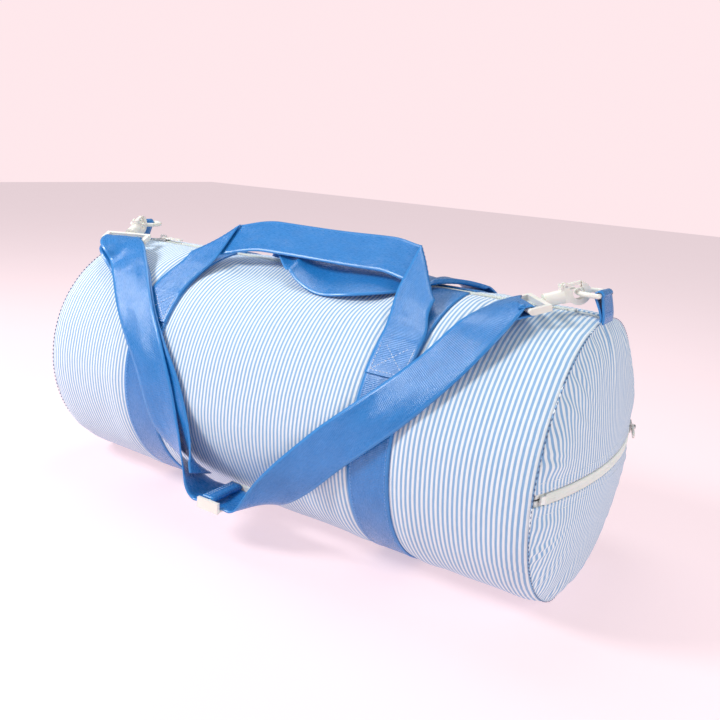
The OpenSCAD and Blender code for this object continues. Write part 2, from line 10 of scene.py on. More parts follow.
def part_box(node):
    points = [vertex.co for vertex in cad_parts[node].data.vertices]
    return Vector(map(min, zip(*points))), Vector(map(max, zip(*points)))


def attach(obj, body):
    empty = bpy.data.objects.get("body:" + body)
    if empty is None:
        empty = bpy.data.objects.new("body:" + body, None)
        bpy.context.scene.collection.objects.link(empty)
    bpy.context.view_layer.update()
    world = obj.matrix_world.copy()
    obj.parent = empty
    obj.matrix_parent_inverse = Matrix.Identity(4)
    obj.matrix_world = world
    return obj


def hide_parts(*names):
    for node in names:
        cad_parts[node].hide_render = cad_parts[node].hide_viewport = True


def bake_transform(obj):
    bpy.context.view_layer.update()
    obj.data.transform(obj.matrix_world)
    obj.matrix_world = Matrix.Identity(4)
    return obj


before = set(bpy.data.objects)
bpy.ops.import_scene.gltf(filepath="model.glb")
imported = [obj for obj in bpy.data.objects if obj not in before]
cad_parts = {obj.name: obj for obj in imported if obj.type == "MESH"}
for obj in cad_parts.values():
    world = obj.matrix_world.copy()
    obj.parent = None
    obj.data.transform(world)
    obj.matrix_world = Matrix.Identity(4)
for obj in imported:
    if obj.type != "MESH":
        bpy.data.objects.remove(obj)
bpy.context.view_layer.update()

MM = 0.001

# ---------- sizes read from the frame ----------
half_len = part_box("body_panel")[1].x
bag_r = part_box("body_panel")[1].y
axis_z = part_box("end_panel_left")[1].z - bag_r
end_bulge = -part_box("end_panel_left")[0].x - half_len
band_low, band_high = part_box("girth_band_right")
web_w = band_high.x - band_low.x
band_x = (band_high.x + band_low.x) / 2
band_r = band_high.y
web_t = band_r - bag_r
tab_w = 2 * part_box("d_ring_tab_right")[1].y
dome_r = (bag_r ** 2 + end_bulge ** 2) / (2 * end_bulge)
dome_x = half_len + end_bulge - dome_r
main_coil_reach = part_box("main_zip_coil_rear")[1].x
pocket_zip_z = (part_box("pocket_zip_coil_upper")[0].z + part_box("pocket_zip_coil_lower")[1].z) / 2

# ---------- sizes shared with the part's source ----------
cloth_t = 1.2 * MM
lining_t = 0.8 * MM
tape_t = 0.6 * MM
zip_gap = 12 * MM
pocket_gap = 10 * MM
tape_w = 15 * MM
coil_w = 2.5 * MM
coil_h = 2 * MM
coil_gap = 1.4 * MM
coil_pitch = 1.6 * MM
tooth_share = 0.78           # of the pitch, filled by a tooth
tooth_len = 3.9 * MM
pocket_tooth_len = 5.2 * MM
binding_w = 8 * MM
slip = 0.3 * MM
handle_h = 104 * MM
handle_root = radians(43)
lap_angle = radians(15.5)
fold_r = 1.6 * MM
fallen_rise = 12 * MM
fallen_lean = 72 * MM        # how far the rear handle's left corner has slipped
fallen_sag = radians(23)     # how far its middle hangs over the front
ring_d = 4 * MM
hook_len = 45 * MM
hook_pitch = radians(16)
hook_yaw_right = radians(41)
hook_yaw_left = radians(65)
eye_bar_d = 5 * MM
adjuster_x = -14 * MM

# ---------- sizes of the cloth's own shape ----------
seam_dip = 3.5 * MM          # how far the end seams are drawn in
stripe_pitch = 3.95 * MM


# ================= camera =================
def place_camera():
    target = Vector((40.3, 0, 151.9)) * MM
    azimuth, elevation, roll, distance = radians(32.49), radians(15.34), radians(3.83), 0.7441
    toward = Vector((sin(azimuth) * cos(elevation), -cos(azimuth) * cos(elevation), sin(elevation)))
    camera = bpy.data.objects.new("camera", bpy.data.cameras.new("camera"))
    bpy.context.collection.objects.link(camera)
    turn = (-toward).to_track_quat("-Z", "Y").to_matrix().to_4x4()
    camera.matrix_world = (Matrix.Translation(target + toward * distance) @ turn
                           @ Matrix.Rotation(roll, 4, "Z"))
    camera.data.sensor_width = 36
    camera.data.lens = 38.974
    camera.data.clip_start = 0.01
    bpy.context.scene.camera = camera


# ================= materials =================
class Value:
    """A socket of a finish's node tree that adds Math nodes when it is used in a sum."""

    def __init__(self, finish, socket):
        self.finish, self.socket = finish, socket

    def __add__(self, other): return self.finish.math("ADD", self, other)
    def __radd__(self, other): return self.finish.math("ADD", other, self)
    def __sub__(self, other): return self.finish.math("SUBTRACT", self, other)
    def __rsub__(self, other): return self.finish.math("SUBTRACT", other, self)
    def __mul__(self, other): return self.finish.math("MULTIPLY", self, other)
    def __rmul__(self, other): return self.finish.math("MULTIPLY", other, self)
    def __truediv__(self, other): return self.finish.math("DIVIDE", self, other)


class Finish:
    """A material with one Principled shader, whose constant sockets are set by name."""

    def __init__(self, name, **constants):
        self.material = bpy.data.materials.new(name)
        self.material.use_nodes = True
        self.tree = self.material.node_tree
        self.shader = self.tree.nodes["Principled BSDF"]
        for socket, value in constants.items():
            self.shader.inputs[socket.replace("_", " ")].default_value = value

    def node(self, kind, settings=None, sockets=None, out=0):
        node = self.tree.nodes.new(kind)
        for setting, value in (settings or {}).items():
            setattr(node, setting, value)
        for socket, value in (sockets or {}).items():
            self.feed(node.inputs[socket], value)
        return Value(self, node.outputs[out])

    def feed(self, socket, value):
        if isinstance(value, Value):
            self.tree.links.new(value.socket, socket)
        elif value is not None:
            socket.default_value = value

    def math(self, operation, a, b=None):
        return self.node("ShaderNodeMath", {"operation": operation}, {0: a, 1: b})

    def flat(self):
        """The two coordinates of the cloth's flat pattern, in metres: across and along."""
        place = self.node("ShaderNodeUVMap", {"uv_map": "flat"})
        across = self.node("ShaderNodeSeparateXYZ", None, {0: place})
        return across, Value(self, across.socket.node.outputs[1])

    def spot(self, x, y):
        return self.node("ShaderNodeCombineXYZ", None, {0: x, 1: y})

    def solid(self):
        return self.node("ShaderNodeTexCoord", None, None, "Object")

    def noise(self, place, scale, detail=2.0):
        return self.node("ShaderNodeTexNoise", None,
                         {"Vector": place, "Scale": scale, "Detail": detail})

    def ramp(self, value, low, high, to_low=0.0, to_high=1.0):
        return self.node("ShaderNodeMapRange", {"interpolation_type": "SMOOTHSTEP"},
                         {"Value": value, "From Min": low, "From Max": high,
                          "To Min": to_low, "To Max": to_high})

    def mix(self, share, first, second):
        mixed = self.node("ShaderNodeMix", {"data_type": "RGBA"}, {0: share}, 2)
        node = mixed.socket.node
        self.feed(node.inputs[6], first)
        self.feed(node.inputs[7], second)
        return mixed

    def set(self, socket, value):
        self.feed(self.shader.inputs[socket], value)

    def relief(self, height, distance, strength=1.0):
        self.set("Normal", self.node("ShaderNodeBump", None,
                 {"Strength": strength, "Distance": distance, "Height": height}))


def wave(finish, place, pitch):
    """0 to 1 and back over each pitch."""
    return finish.math("SINE", place * (2 * pi / pitch)) * 0.5 + 0.5


def striped_cloth():
    finish = Finish("striped_cloth", Sheen_Weight=0.25, Sheen_Roughness=0.5,
                    Specular_IOR_Level=0.3)
    across, along = finish.flat()
    stray = finish.noise(finish.spot(across * 60.0, along * 14.0), 1.0) - 0.5
    wander = across + stray * (0.35 * MM)
    blue = finish.ramp(finish.math("PINGPONG", wander / stripe_pitch, 0.5), 0.19, 0.30, 1.0, 0.0)
    tone = finish.noise(finish.spot(across * 900.0, along * 120.0), 1.0, 3.0)
    white = finish.mix(tone, (0.72, 0.80, 0.86, 1), (0.88, 0.92, 0.94, 1))
    dyed = finish.mix(tone, (0.19, 0.37, 0.62, 1), (0.32, 0.52, 0.76, 1))
    finish.set("Base Color", finish.mix(blue, white, dyed))
    finish.set("Roughness", finish.ramp(tone, 0.3, 0.7, 0.68, 0.82))
    pucker = finish.noise(finish.spot(across * 210.0, along * 260.0), 1.0, 3.0)
    yarn = wave(finish, across, 0.55 * MM) * wave(finish, along, 0.55 * MM)
    finish.relief(pucker * (0.35 + 0.65 * (1 - blue)) + yarn * 0.12, 0.55 * MM, 0.8)
    return finish.material


def lining_cloth():
    finish = Finish("lining_cloth", Sheen_Weight=0.2, Specular_IOR_Level=0.3)
    place = finish.solid()
    tone = finish.noise(place, 160.0, 4.0)
    finish.set("Base Color", finish.mix(tone, (0.70, 0.78, 0.87, 1), (0.84, 0.89, 0.94, 1)))
    finish.set("Roughness", finish.ramp(tone, 0.3, 0.7, 0.75, 0.9))
    finish.relief(finish.noise(place, 1400.0, 2.0), 0.2 * MM, 0.6)
    return finish.material


def webbing(name, width):
    """Satin tape: fine crosswise ribs with painted highlights on their crests, smoother selvedges
    and a little wear in its tone.
    """
    finish = Finish(name, Sheen_Weight=0.02, Sheen_Roughness=0.4, Specular_IOR_Level=0.6,
                    Coat_Roughness=0.2)
    across, along = finish.flat()
    edge = finish.math("ABSOLUTE", across - width / 2)
    selvedge = finish.ramp(edge, width / 2 - 2.4 * MM, width / 2 - 1.8 * MM)
    tone = finish.noise(finish.spot(across * 260.0, along * 40.0), 1.0, 4.0)
    thread = finish.noise(finish.spot(across * 1800.0, along * 220.0), 1.0, 2.0)
    rib = wave(finish, along, 1.5 * MM)
    warp = wave(finish, across, 0.8 * MM)
    body = finish.mix(tone, (0.001, 0.092, 0.34, 1), (0.008, 0.185, 0.56, 1))
    # painted highlight: the rib crests are painted a lighter blue, as if lit; the fine thread noise
    # adds random lighter threads to the same mix
    rib_highlight_and_thread_tone = finish.mix(rib * 0.20 + thread * 0.22, body, (0.05, 0.36, 0.80, 1))
    finish.set("Base Color", finish.mix(selvedge * 0.5, rib_highlight_and_thread_tone, (0.03, 0.28, 0.70, 1)))
    finish.set("Roughness", finish.ramp(thread + selvedge * 0.2, 0.3, 0.8, 0.22, 0.38))
    finish.set("Coat Weight", finish.ramp(tone, 0.3, 0.7, 0.15, 0.4))
    slack = finish.noise(finish.spot(across * 30.0, along * 26.0), 1.0, 2.0)
    height = rib * (0.6 * (1 - selvedge)) + warp * 0.25 + selvedge * 0.6 + thread * 0.2
    finish.relief(height + slack * 16.0, 0.22 * MM, 0.8)
    return finish.material


def zip_tape():
    finish = Finish("zip_tape", Sheen_Weight=0.2, Specular_IOR_Level=0.3)
    across, along = finish.flat()
    twill = wave(finish, across + along, 1.1 * MM)
    tone = finish.noise(finish.spot(across * 300.0, along * 60.0), 1.0, 3.0)
    finish.set("Base Color", finish.mix(tone, (0.72, 0.76, 0.74, 1), (0.86, 0.88, 0.84, 1)))
    finish.set("Roughness", finish.ramp(tone, 0.3, 0.7, 0.7, 0.85))
    finish.relief(twill, 0.2 * MM, 0.6)
    return finish.material


def moulded(name, dull, bright, rough, grain=900.0):
    """Moulded plastic: a faint mottle, a fine skin and slightly uneven gloss."""
    finish = Finish(name, Specular_IOR_Level=0.5, Subsurface_Weight=0.08, Subsurface_Scale=2 * MM,
                    Coat_Roughness=0.25)
    place = finish.solid()
    cloud = finish.noise(place, 55.0, 4.0)
    skin = finish.noise(place, grain, 3.0)
    finish.set("Base Color", finish.mix(cloud, dull, bright))
    finish.set("Roughness", finish.ramp(skin + cloud * 0.5, 0.5, 1.0, rough, rough + 0.16))
    finish.set("Coat Weight", finish.ramp(cloud, 0.3, 0.7, 0.1, 0.3))
    finish.relief(skin, 0.08 * MM, 0.5)
    return finish.material


def metal(name, dull, bright, rough):
    finish = Finish(name, Specular_IOR_Level=0.5)
    place = finish.solid()
    cloud = finish.noise(place, 300.0, 4.0)
    finish.set("Metallic", 0.9)
    finish.set("Base Color", finish.mix(cloud, dull, bright))
    finish.set("Roughness", finish.ramp(cloud, 0.3, 0.7, rough, rough + 0.2))
    finish.relief(finish.noise(place, 2200.0, 2.0), 0.05 * MM, 0.4)
    return finish.material


def thread(name, dull, bright):
    finish = Finish(name, Sheen_Weight=0.3, Specular_IOR_Level=0.4)
    twist = finish.noise(finish.solid(), 2600.0, 2.0)
    finish.set("Base Color", finish.mix(twist, dull, bright))
    finish.set("Roughness", finish.ramp(twist, 0.3, 0.7, 0.5, 0.7))
    finish.relief(twist, 0.1 * MM, 0.6)
    return finish.material


def pale_floor():
    finish = Finish("pale_floor", Specular_IOR_Level=0.1, Emission_Strength=0.6,
                    Emission_Color=(1.0, 0.80, 0.84, 1))
    tone = finish.noise(finish.solid(), 6.0, 3.0)
    finish.set("Base Color", finish.mix(tone, (0.50, 0.41, 0.43, 1), (0.52, 0.43, 0.45, 1)))
    finish.set("Roughness", 0.8)
    return finish.material


# ================= making pieces =================
def finished(bm, name, material, body=None):
    mesh = bpy.data.meshes.new(name)
    bm.to_mesh(mesh)
    bm.free()
    mesh.materials.append(material)
    piece = bpy.data.objects.new(name, mesh)
    bpy.context.collection.objects.link(piece)
    if body:
        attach(piece, body)
    return piece


def grid_sheet(name, columns, rows, place, material, body=None, inside=None):
    """A sheet of cloth. place(u, v) gives a point and its place on the flat pattern; faces
    point away from the point inside."""
    bm = bmesh.new()
    pattern = bm.loops.layers.uv.new("flat")
    bmesh.ops.create_grid(bm, x_segments=columns, y_segments=rows, size=0.5)
    flat = {}
    for vert in bm.verts:
        vert.co, flat[vert] = place(vert.co.x + 0.5, vert.co.y + 0.5)
    for face in bm.faces:
        face.smooth = True
        for loop in face.loops:
            loop[pattern].uv = flat[loop.vert]
    bmesh.ops.remove_doubles(bm, verts=bm.verts, dist=1e-6)
    bmesh.ops.dissolve_degenerate(bm, edges=bm.edges, dist=1e-7)
    if inside is not None:
        bm.normal_update()
        facing = sum(face.normal.dot(face.calc_center_median() - inside) for face in bm.faces)
        if facing < 0:
            bmesh.ops.reverse_faces(bm, faces=bm.faces)
    return finished(bm, name, material, body)


def thicken(piece, thickness, offset=-1.0):
    modifier = piece.modifiers.new("thickness", "SOLIDIFY")
    modifier.thickness = thickness
    modifier.offset = offset
    return piece


def stitch_shape():
    """A template: a ball a metre long, wide and high, with few faces."""
    bm = bmesh.new()
    bmesh.ops.create_uvsphere(bm, u_segments=6, v_segments=4, radius=0.5)
    for face in bm.faces:
        face.smooth = True
    mesh = bpy.data.meshes.new("stitch_shape")
    bm.to_mesh(mesh)
    bm.free()
    return mesh


def tooth_shape():
    """A template: a rounded bar a metre long, wide and high."""
    bm = bmesh.new()
    bmesh.ops.create_cube(bm, size=1.0)
    bmesh.ops.bevel(bm, geom=bm.edges[:], offset=0.22, offset_type="OFFSET", segments=1,
                    profile=0.5, affect="EDGES", material=-1)
    for face in bm.faces:
        face.smooth = True
    mesh = bpy.data.meshes.new("tooth_shape")
    bm.to_mesh(mesh)
    bm.free()
    return mesh


def seat(point, along, out, size):
    """The matrix that puts a template at a point, size = (length, width, height)."""
    along = along.normalized()
    out = (out - along * out.dot(along)).normalized()
    side = out.cross(along)
    turn = Matrix((along * size[0], side * size[1], out * size[2])).transposed().to_4x4()
    turn.translation = point
    return turn


def repeated(name, template, seats, material, body=None):
    bm = bmesh.new()
    for matrix in seats:
        copy = template.copy()
        copy.transform(matrix)
        bm.from_mesh(copy)
        bpy.data.meshes.remove(copy)
    return finished(bm, name, material, body)


def stitched(path, pitch=3.2 * MM, length=2.3 * MM, width=0.55 * MM):
    """Seats of stitches along path(t) -> (point, outward), t from 0 to 1."""
    steps = 400
    line = [path(i / steps) for i in range(steps + 1)]
    travelled, wanted, seats = 0.0, pitch / 2, []
    for (a, out), (b, _) in zip(line, line[1:]):
        step = (b - a).length
        while step > 0 and travelled + step >= wanted:
            spot = a.lerp(b, (wanted - travelled) / step)
            seats.append(seat(spot, b - a, out, (length, width, width)))
            wanted += pitch
        travelled += step
    return seats


def clean_copy(node, name, material, body, bevel=0.35 * MM, segments=2):
    """A merged, bevelled copy of a CAD node, standing for it."""
    bm = bmesh.new()
    bm.from_mesh(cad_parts[node].data)
    bmesh.ops.remove_doubles(bm, verts=bm.verts, dist=2e-6)
    bmesh.ops.dissolve_limit(bm, angle_limit=radians(1.0), verts=bm.verts, edges=bm.edges)
    for face in bm.faces:
        face.smooth = True
    for edge in bm.edges:
        edge.smooth = not edge.is_manifold or edge.calc_face_angle(0) < radians(32)
    piece = finished(bm, name, material, body)
    modifier = piece.modifiers.new("soft_edges", "BEVEL")
    modifier.width = bevel
    modifier.segments = segments
    modifier.limit_method = "ANGLE"
    modifier.angle_limit = radians(32)
    modifier.use_clamp_overlap = True
    modifier.harden_normals = True
    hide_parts(node)
    return piece


# ================= the bag's surface =================
def smooth_step(value, low, high):
    t = min(max((value - low) / (high - low), 0.0), 1.0)
    return t * t * (3 - 2 * t)


def soft_min(a, b, reach):
    """The lesser of two lengths, with a rounded change from one to the other."""
    h = max(reach - abs(a - b), 0.0) / reach
    return min(a, b) - h * h * reach / 4


def seam_r(phi, foot=0.0):
    """Radius of the end seams at an angle from the top."""
    down = -cos(phi)
    drawn = bag_r - seam_dip
    return soft_min(drawn, (axis_z - foot) / down, 4 * MM) if down > 0.3 else drawn


def near_band(x, reach):
    """1 on a girth band, falling to 0 over reach beside it."""
    return 1 - smooth_step(abs(abs(x) - band_x) - web_w / 2, 0.0, reach)


def dent(x, phi):
    """How far the filled cloth stands out from, or falls inside, its plain radius."""
    phi = atan2(sin(phi), cos(phi))
    from_end = half_len - abs(x)
    on_band = near_band(x, 22 * MM)
    clear = smooth_step(abs(phi), radians(5), radians(14))
    side = noise.noise(Vector((x * 9.0, 2.1 * cos(phi), 2.1 * sin(phi))))
    fine = noise.noise(Vector((x * 26.0, 6.0 * cos(phi) + 7.0, 6.0 * sin(phi))))
    quiet = (1 - on_band) * clear
    # drawn in at the end seams, slack between the bands, pressed under the bands
    out = -seam_dip * exp(-(from_end / (8 * MM)) ** 1.3)
    out += (1.7 * MM * side + 0.6 * MM * fine) * quiet
    out -= 0.6 * MM * near_band(x, 6 * MM) * clear
    # a soft swell beside each band, and a hollow along both sides of the main zip
    beside = (abs(abs(x) - band_x) - web_w / 2 - 15 * MM) / (10 * MM)
    out += 1.1 * MM * exp(-beside * beside) * clear
    hollow = (degrees(abs(phi)) - 21) / 10
    out -= 4.0 * MM * exp(-hollow * hollow) * (1 - smooth_step(abs(x), 70 * MM, 112 * MM)) * clear
    # small gathers that run in from the end seams
    pull = noise.noise(Vector((11.0 * cos(phi), 11.0 * sin(phi), 3.0 + x * 4.0)))
    fold = sin(phi * 52 + 5 * pull) * (0.45 + 0.9 * pull)
    out += 0.9 * MM * fold * (1 - exp(-from_end / (4 * MM))) * exp(-from_end / (15 * MM)) * clear
    return out


def bag_point(x, phi, lift=0.0, foot=0.0):
    """A point of the tube of the bag: lift outwards from the cloth, no lower than foot."""
    r = bag_r + dent(x, phi) + lift
    down = -cos(phi)
    if down > 0.3:
        r = soft_min(r, (axis_z - foot) / down, 4 * MM)
    return Vector((x, -r * sin(phi), axis_z + r * cos(phi)))


def bag_out(phi):
    return Vector((0, -sin(phi), cos(phi)))


inside_bag = Vector((0, 0, axis_z))
zip_edge = asin(zip_gap / 2 / bag_r)
flat_half = acos(-axis_z / bag_r)
girth = 2 * bag_r * (flat_half - zip_edge) + 2 * bag_r * sin(flat_half)


def cloth_foot(x):
    """The bag's cloth lies on its girth bands where they pass beneath it."""
    return web_t * near_band(x, 8 * MM)


def make_body_cloth(stripes, cotton):
    turn = 2 * pi - 2 * zip_edge

    def outer(u, v):
        x, phi = (2 * u - 1) * half_len, zip_edge + v * turn
        return bag_point(x, phi, 0, cloth_foot(x)), (x, v * girth)
    cloth = grid_sheet("body_cloth", 170, 200, outer, stripes, "bag", inside_bag)
    thicken(cloth, cloth_t)
    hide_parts("body_panel")

    edge = asin((zip_gap / 2 + 4 * MM) / bag_r)
    reach = half_len - 3 * MM

    def inner(u, v):
        x, phi = (2 * u - 1) * reach, edge + v * (2 * pi - 2 * edge)
        inset = -cloth_t - tape_t - 1.2 * MM
        return bag_point(x, phi, inset, cloth_foot(x) + cloth_t + 1.8 * MM), (x, v * girth)
    lining = grid_sheet("lining_cloth", 90, 110, inner, cotton, "bag", inside_bag)
    thicken(lining, lining_t)
    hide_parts("body_lining")


def seam_line(side, phi, inset=0.0):
    r = seam_r(phi) - inset
    return Vector((side * half_len, -r * sin(phi), axis_z + r * cos(phi)))


def ball_x(r):
    """How far out the ball of an end panel is at a distance from the bag's axis."""
    return dome_x + sqrt(dome_r ** 2 - r ** 2)


def end_point(side, y, z, inset=0.0):
    """A point of a round end panel, tucked in towards its seam and gathered along it."""
    rise = z - axis_z
    r = hypot(y, rise)
    phi = atan2(-y, rise)
    rim = seam_r(phi)
    share = min(r / rim, 1.0)
    from_rim = max(rim - r, 0.0)
    spread = r + (bag_r - rim) * smooth_step(share, 0.80, 1.0)
    x = ball_x(min(spread, bag_r)) - half_len
    off_zip = smooth_step(abs(z - pocket_zip_z), 9 * MM, 26 * MM) if side > 0 else 1.0
    # a puffed ring inside the rim, then gathers and crumples that fade away from the seam
    puff = smooth_step(share, 0.45, 0.85) * (1 - smooth_step(share, 0.90, 1.0))
    x += 2.6 * MM * puff * off_zip * (0.7 + 0.6 * noise.noise(Vector((y * 14, z * 14, side))))
    pull = noise.noise(Vector((5.0 * cos(phi), 5.0 * sin(phi), 2.0 * side)))
    crimp = sin(phi * 44 + 7 * pull) * (0.5 + 1.1 * noise.noise(Vector((phi * 3.1, side, 4.0))))
    near = (1 - exp(-from_rim / (4 * MM))) * exp(-from_rim / (20 * MM))
    x += 2.3 * MM * crimp * near * (0.2 + 0.8 * off_zip)
    x += 3.0 * MM * noise.noise(Vector((y * 30, z * 18, 3.0 + side))) * near * off_zip
    return Vector((side * (half_len + x - inset), y, z))


def half_chord(z, inset=0.0):
    """Half the width of an end panel at a height, out to its seam."""
    rise = z - axis_z
    reach = bag_r - seam_dip - inset
    return sqrt(max(reach ** 2 - rise ** 2, 0.0))


def make_end_cloth(name, side, low, high, stripes, nodes):
    """The part of an end panel between two heights; low or high is None at the seam."""
    top = axis_z + bag_r - seam_dip if high is None else high
    bottom = 0.6 * MM if low is None else low

    def place(u, v):
        if high is None:
            z = bottom + (top - bottom) * sin(v * pi / 2)
        else:
            z = bottom + (top - bottom) * v
        y = (2 * u - 1) * half_chord(z)
        return end_point(side, y, z), (y, z)
    inside = Vector((0, 0, axis_z))
    cloth = grid_sheet(name, 110, 110, place, stripes, "bag", inside)
    thicken(cloth, cloth_t)
    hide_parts(*nodes)
    wide, tall = 2 * half_chord(min(max(axis_z, bottom), top)) + 20 * MM, top - bottom + 15 * MM
    share = 0.79 if low is None and high is None else 0.82
    share * wide * tall


def make_end_inside(cotton):
    """The lining discs behind both end panels and the bound seams round them."""
    for side, disc, binding, name in ((-1, "end_lining_left", "seam_binding_left", "left"),
                                      (1, "pocket_bag", "seam_binding_right", "right")):
        reach = bag_r - seam_dip - 7 * MM

        def place(u, v):
            z = 9 * MM + (axis_z + reach - 9 * MM) * sin(v * pi / 2)
            rise = z - axis_z
            y = (2 * u - 1) * sqrt(max(reach ** 2 - rise ** 2, 0.0))
            sag = 1.5 * MM * noise.noise(Vector((y * 12, z * 12, 5.0)))
            return Vector((side * (half_len - 5 * MM + sag), y, z)), (y, z)
        inner = grid_sheet("inner_disc_" + name, 40, 40, place, cotton, "bag",
                           Vector((side, 0, axis_z)))
        thicken(inner, lining_t)
        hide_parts(disc)

        def bound(u, v):
            phi = zip_edge * 2 + v * (2 * pi - 4 * zip_edge)
            r = seam_r(phi, 2.5 * MM) - 2.2 * MM - u * binding_w
            x = side * (half_len - 3.2 * MM)
            return Vector((x, -r * sin(phi), axis_z + r * cos(phi))), (u * binding_w, v * girth)
        strip = grid_sheet("seam_binding_cloth_" + name, 3, 150, bound, cotton, "bag")
        thicken(strip, 1.6 * MM, 0)
        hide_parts(binding)


def seam_sewing():
    """Seats of the stitches round both end seams; their near-black thread is painted shade for the
    seam's groove.
    """
    seats = []
    for side in (-1, 1):
        def path(t):
            phi = zip_edge * 3 + t * (2 * pi - 6 * zip_edge)
            point = seam_line(side, phi, -0.5 * MM)
            point.z = max(point.z, 0.5 * MM)
            return point, bag_out(phi)
        seats += stitched(path, 4.2 * MM, 2.6 * MM, 0.8 * MM)
    return seats


# ================= webbing on the bag =================
def make_band(side, tape):
    name = "left" if side < 0 else "right"

    def place(u, v):
        x = side * band_x + (u - 0.5) * web_w
        phi = zip_edge * 1.05 + v * (2 * pi - 2.1 * zip_edge)
        return bag_point(x, phi, web_t), (u * web_w, v * girth)
    band = grid_sheet("girth_webbing_" + name, 12, 220, place, tape, "bag", inside_bag)
    thicken(band, web_t)
    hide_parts("girth_band_" + name)
    seats = []
    for edge in (-1, 1):
        def path(t):
            phi = radians(60) + t * radians(98)
            x = side * band_x + edge * (web_w / 2 - 3 * MM)
            return bag_point(x, phi, web_t + 0.1 * MM), bag_out(phi)

        def back(t):
            point, out = path(t)
            return Vector((point.x, -point.y, point.z)), Vector((0, -out.y, out.z))
        seats += stitched(path) + stitched(back)
    return seats


def fold_place(s, u):
    """Place of a point s along and u across the left half of a handle's webbing, flat."""
    roll_len = pi * fold_r
    past = (s - u - fold_h) / sqrt(2)
    line = Vector((u - band_x + past / sqrt(2), s - past / sqrt(2)))
    angle = min(max(past / fold_r, 0.0), pi)
    rest = past if past <= 0 else roll_len - past if past >= roll_len else 0.0
    push = rest + fold_r * sin(angle)
    return Vector((line.x - push / sqrt(2), line.y + push / sqrt(2), fold_r * (cos(angle) - 1)))


fold_h = handle_h - web_w / 2 - pi * fold_r / sqrt(2)
half_web = band_x + fold_h + pi * fold_r / sqrt(2)
root_r = band_r + slip + web_t / 2


def handle_flat(s, u):
    if s <= half_web:
        return fold_place(s, u)
    p = fold_place(2 * half_web - s, u)
    return Vector((-p.x, p.y, p.z))


def upright(p):
    """The front handle stands in the plane that touches the bag at its roots."""
    # the loop bows a little, leans to the right on the left side and droops at its corners
    bow = 2.5 * MM * noise.noise(Vector((p.x * 14, p.y * 14, 1.0))) * smooth_step(p.y, 0, 40 * MM)
    high = smooth_step(p.y, 0, 62 * MM)
    left, right = smooth_step(-p.x, 55 * MM, 138 * MM), smooth_step(p.x, 70 * MM, 120 * MM)
    outer = smooth_step(p.x, 112 * MM, 150 * MM)
    lean = (15 * MM * left - 9 * MM * right) * high
    droop = (14 * MM * left + 6 * MM * right + 15 * MM * outer) * high
    up, off = p.y - droop, p.z + bow
    y = -root_r * sin(handle_root) + up * cos(handle_root) - off * sin(handle_root)
    z = axis_z + root_r * cos(handle_root) + up * sin(handle_root) + off * cos(handle_root)
    return Vector((p.x + lean, y, z))


def fallen(p):
    """The rear handle lies over the top of the bag, its left corner slipped to the middle."""
    share = min(max(p.y / handle_h, 0.0), 1.0)
    side = p.x / band_x
    angle = -handle_root + p.y / (root_r + 3 * MM) + fallen_sag * share * (1 - side * side)
    x = p.x + fallen_lean * share * (1 - side) / 2
    # it stands highest as it turns over the zip; its fold makes one ridge and a flared corner
    rise = fallen_rise * (1 - (1 - share) ** 2)
    rise *= 1 - 0.7 * smooth_step(angle, radians(5), radians(20))
    rise *= 1 - 0.55 * smooth_step(p.x, 60 * MM, 125 * MM)
    crease = exp(-abs(x + 14 * MM) / (9 * MM)) - 0.5 * exp(-((x - 24 * MM) / (24 * MM)) ** 2)
    flare = smooth_step(-x, 14 * MM, 55 * MM)
    r = root_r + rise + p.z + (8.5 * MM * crease + 9 * MM * flare) * smooth_step(share, 0.6, 0.85)
    return Vector((x, -r * sin(angle), axis_z + r * cos(angle)))


def make_handle(name, front, tape, nodes):
    lap = lap_angle * root_r
    whole = 2 * half_web + 2 * lap
    facing = 1 if front else -1
    sewn = web_t * 1.5                  # middle of the webbing above the cloth, on its band

    def place(u, v):
        s = v * whole - lap
        across = (u - 0.5) * web_w
        pattern = (u * web_w, v * whole)
        if 0 <= s <= 2 * half_web:
            p = handle_flat(s, across)
            return (upright(p) if front else fallen(p)), pattern
        left = s < 0
        below = -s if left else s - 2 * half_web
        x = -band_x + across if left else band_x - across
        phi = facing * (handle_root + below / root_r)
        at_root = smooth_step(below, 0, 10 * MM)
        lift = sewn + slip * (1 - at_root)
        near = bag_point(x, phi, lift)
        plain = Vector((x, -(bag_r + lift) * sin(phi), axis_z + (bag_r + lift) * cos(phi)))
        return plain.lerp(near, at_root), pattern
    handle = grid_sheet(name, 12, 520, place, tape)
    thicken(handle, web_t, 0)
    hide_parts(*nodes)
    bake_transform(handle)
    seats = []
    # the box and its cross, as (across, down from the root) in millimetres
    box = [(-15, 2), (15, 2), (15, 30), (-15, 30), (-15, 2), (15, 30), (15, 2), (-15, 30)]
    for side in (-1, 1):
        for (x0, d0), (x1, d1) in zip(box, box[1:]):
            def path(t):
                x = side * band_x + (x0 + (x1 - x0) * t) * MM
                phi = facing * (handle_root + (d0 + (d1 - d0) * t) * MM / root_r)
                return bag_point(x, phi, 2 * web_t + 0.1 * MM), bag_out(phi)
            seats += stitched(path)
    return seats


# ================= shoulder strap =================
def hook_place(yaw):
    """Where a hook's throat holds the bow of its D-ring, on the right side."""
    bow = ring_x - ring_straight
    return Vector((bow - ring_mid * cos(yaw), -ring_mid * sin(yaw), ring_z))


ring_low, ring_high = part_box("d_ring_right")
ring_x = ring_high.x - ring_d / 2
ring_z = (ring_low.z + ring_high.z) / 2
ring_mid = ring_high.y - ring_d / 2
ring_straight = ring_x - ring_low.x - ring_mid - ring_d / 2
wrap_r = eye_bar_d / 2 + slip + web_t / 2


def at_hook(yaw, side, ahead, up):
    """A direction or place in a hook's own frame, turned to the part's frame."""
    x = ahead * cos(-hook_pitch) + up * sin(-hook_pitch)
    z = -ahead * sin(-hook_pitch) + up * cos(-hook_pitch)
    return Vector((side * x * cos(yaw), x * sin(yaw), z))


